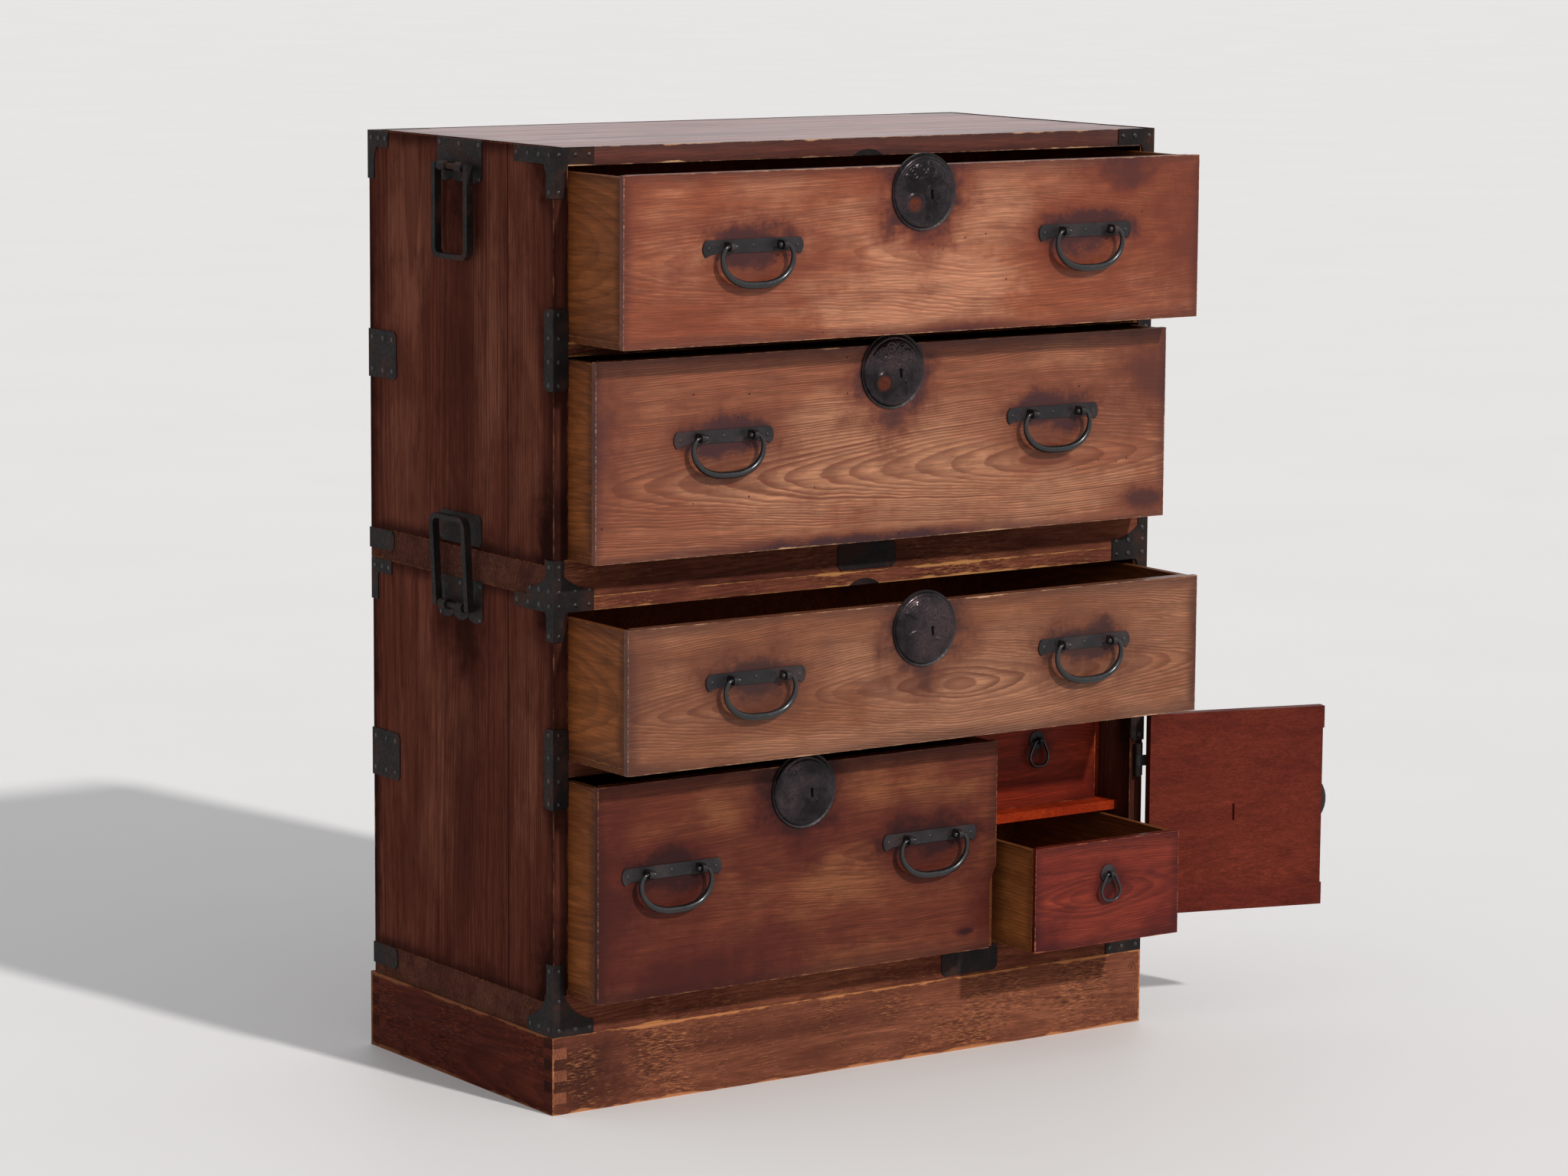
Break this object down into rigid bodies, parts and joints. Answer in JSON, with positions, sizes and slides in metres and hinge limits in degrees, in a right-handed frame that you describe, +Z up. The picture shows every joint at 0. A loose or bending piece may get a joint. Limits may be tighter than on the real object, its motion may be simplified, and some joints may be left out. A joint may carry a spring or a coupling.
{
  "type": "two-section clothing chest",
  "caption": "Low plinth and stacked lower and upper cases with full-width drawers, a hinged door over small drawers, round lock plates, bail pulls and carrying handles.",
  "frame": {"origin": "middle of the plinth front rail's underside, on its mid-thickness", "axes": "+Z up, +X to the right seen from the front, front faces -Y"},
  "size_m": [1.1672, 0.5844, 1.166],
  "materials": {
    "plinth_wood": "dark worn lacquer",
    "side_wood": "dark red-brown lacquer",
    "top_wood": "worn satin lacquer",
    "rail_wood": "worn red-brown lacquer",
    "inner_wood": "bare",
    "compartment_wood": "thin lacquer",
    "drawer_front_wood": "worn red-brown lacquer",
    "drawer_box_wood": "bare, aged",
    "small_drawer_wood": "orange-red lacquer",
    "door_wood": "orange-red lacquer",
    "iron": "blackened"
  },
  "bodies": {
    "plinth": {"plinth_long_rails": "plinth_wood", "plinth_end_rails": "plinth_wood"},
    "lower_chest": {"lower_left_side": "side_wood", "lower_right_side": "side_wood", "lower_top_board": "top_wood", "lower_back_board": "inner_wood", "lower_base_rails": "rail_wood", "lower_bottom_board": "inner_wood", "lower_shelf": "rail_wood", "lower_partition": "compartment_wood", "compartment_lining": "compartment_wood", "lower_irons": "iron"},
    "upper_chest": {"upper_left_side": "side_wood", "upper_right_side": "side_wood", "upper_top_board": "top_wood", "upper_back_board": "inner_wood", "upper_base_rails": "rail_wood", "upper_bottom_board": "inner_wood", "upper_shelf": "rail_wood", "upper_irons": "iron"},
    "drawer_1": {"drawer_1_front": "drawer_front_wood", "drawer_1_walls": "drawer_box_wood", "drawer_1_bottom": "drawer_box_wood", "drawer_1_irons": "iron"},
    "drawer_1_bail_left": {"drawer_1_bail_left": "iron"},
    "drawer_1_bail_right": {"drawer_1_bail_right": "iron"},
    "drawer_2": {"drawer_2_front": "drawer_front_wood", "drawer_2_walls": "drawer_box_wood", "drawer_2_bottom": "drawer_box_wood", "drawer_2_irons": "iron"},
    "drawer_2_bail_left": {"drawer_2_bail_left": "iron"},
    "drawer_2_bail_right": {"drawer_2_bail_right": "iron"},
    "drawer_3": {"drawer_3_front": "drawer_front_wood", "drawer_3_walls": "drawer_box_wood", "drawer_3_bottom": "drawer_box_wood", "drawer_3_irons": "iron"},
    "drawer_3_bail_left": {"drawer_3_bail_left": "iron"},
    "drawer_3_bail_right": {"drawer_3_bail_right": "iron"},
    "drawer_4": {"drawer_4_front": "drawer_front_wood", "drawer_4_walls": "drawer_box_wood", "drawer_4_bottom": "drawer_box_wood", "drawer_4_irons": "iron"},
    "drawer_4_bail_left": {"drawer_4_bail_left": "iron"},
    "drawer_4_bail_right": {"drawer_4_bail_right": "iron"},
    "small_lower": {"small_lower_front": "small_drawer_wood", "small_lower_box": "small_drawer_wood", "small_lower_pull": "iron"},
    "small_lower_ring": {"small_lower_ring": "iron"},
    "small_upper": {"small_upper_front": "small_drawer_wood", "small_upper_box": "small_drawer_wood", "small_upper_pull": "iron"},
    "small_upper_ring": {"small_upper_ring": "iron"},
    "door": {"door_panel": "door_wood", "door_end_boards": "door_wood", "door_irons": "iron"},
    "carry_upper_left": {"carry_upper_left": "iron"},
    "carry_upper_right": {"carry_upper_right": "iron"},
    "carry_lower_left": {"carry_lower_left": "iron"},
    "carry_lower_right": {"carry_lower_right": "iron"}
  },
  "joints": [
    {"name": "lower_chest_lift", "type": "slide", "parent": "plinth", "child": "lower_chest", "axis": [0, 0, 1], "range_m": [0, 0.15]},
    {"name": "upper_chest_lift", "type": "slide", "parent": "lower_chest", "child": "upper_chest", "axis": [0, 0, 1], "range_m": [0, 0.15]},
    {"name": "drawer_1_slide", "type": "slide", "parent": "upper_chest", "child": "drawer_1", "axis": [0, -1, 0], "range_m": [-0.12, 0.22]},
    {"name": "drawer_1_bail_left_swing", "type": "hinge", "parent": "drawer_1", "child": "drawer_1_bail_left", "pos_m": [-0.248, -0.141, 1.052], "axis": [-1, 0, 0], "range_deg": [0, 100]},
    {"name": "drawer_1_bail_right_swing", "type": "hinge", "parent": "drawer_1", "child": "drawer_1_bail_right", "pos_m": [0.248, -0.141, 1.052], "axis": [-1, 0, 0], "range_deg": [0, 100]},
    {"name": "drawer_2_slide", "type": "slide", "parent": "upper_chest", "child": "drawer_2", "axis": [0, -1, 0], "range_m": [-0.06, 0.28]},
    {"name": "drawer_2_bail_left_swing", "type": "hinge", "parent": "drawer_2", "child": "drawer_2_bail_left", "pos_m": [-0.248, -0.081, 0.82], "axis": [-1, 0, 0], "range_deg": [0, 100]},
    {"name": "drawer_2_bail_right_swing", "type": "hinge", "parent": "drawer_2", "child": "drawer_2_bail_right", "pos_m": [0.248, -0.081, 0.82], "axis": [-1, 0, 0], "range_deg": [0, 100]},
    {"name": "drawer_3_slide", "type": "slide", "parent": "lower_chest", "child": "drawer_3", "axis": [0, -1, 0], "range_m": [-0.131, 0.209]},
    {"name": "drawer_3_bail_left_swing", "type": "hinge", "parent": "drawer_3", "child": "drawer_3_bail_left", "pos_m": [-0.248, -0.152, 0.538], "axis": [-1, 0, 0], "range_deg": [0, 100]},
    {"name": "drawer_3_bail_right_swing", "type": "hinge", "parent": "drawer_3", "child": "drawer_3_bail_right", "pos_m": [0.248, -0.152, 0.538], "axis": [-1, 0, 0], "range_deg": [0, 100]},
    {"name": "drawer_4_slide", "type": "slide", "parent": "lower_chest", "child": "drawer_4", "axis": [0, -1, 0], "range_m": [-0.066, 0.274]},
    {"name": "drawer_4_bail_left_swing", "type": "hinge", "parent": "drawer_4", "child": "drawer_4_bail_left", "pos_m": [-0.32425, -0.087, 0.3004], "axis": [-1, 0, 0], "range_deg": [0, 100]},
    {"name": "drawer_4_bail_right_swing", "type": "hinge", "parent": "drawer_4", "child": "drawer_4_bail_right", "pos_m": [0.05975, -0.087, 0.3004], "axis": [-1, 0, 0], "range_deg": [0, 100]},
    {"name": "small_lower_slide", "type": "slide", "parent": "lower_chest", "child": "small_lower", "axis": [0, -1, 0], "range_m": [-0.1912, 0.06]},
    {"name": "small_lower_ring_swing", "type": "hinge", "parent": "small_lower", "child": "small_lower_ring", "pos_m": [0.29725, -0.141, 0.236], "axis": [-1, 0, 0], "range_deg": [0, 100]},
    {"name": "small_upper_slide", "type": "slide", "parent": "lower_chest", "child": "small_upper", "axis": [0, -1, 0], "range_m": [0, 0.24]},
    {"name": "small_upper_ring_swing", "type": "hinge", "parent": "small_upper", "child": "small_upper_ring", "pos_m": [0.31525, 0.034, 0.379], "axis": [-1, 0, 0], "range_deg": [0, 100]},
    {"name": "door_hinge", "type": "hinge", "parent": "lower_chest", "child": "door", "pos_m": [0.439, -0.0135, 0.279], "axis": [0, 0, 1], "range_deg": [-164, 11]},
    {"name": "carry_upper_left_swing", "type": "hinge", "parent": "upper_chest", "child": "carry_upper_left", "pos_m": [-0.462, 0.203, 1.133], "axis": [0, 1, 0], "range_deg": [0, 175]},
    {"name": "carry_upper_right_swing", "type": "hinge", "parent": "upper_chest", "child": "carry_upper_right", "pos_m": [0.462, 0.203, 1.133], "axis": [0, -1, 0], "range_deg": [0, 175]},
    {"name": "carry_lower_left_swing", "type": "hinge", "parent": "lower_chest", "child": "carry_lower_left", "pos_m": [-0.462, 0.203, 0.597], "axis": [0, -1, 0], "range_deg": [0, 177]},
    {"name": "carry_lower_right_swing", "type": "hinge", "parent": "lower_chest", "child": "carry_lower_right", "pos_m": [0.462, 0.203, 0.597], "axis": [0, 1, 0], "range_deg": [0, 177]}
  ],
  "couplings": [
    {"joint": "small_lower_slide", "follows": "door_hinge", "m_per_rad": 0.06673}
  ]
}
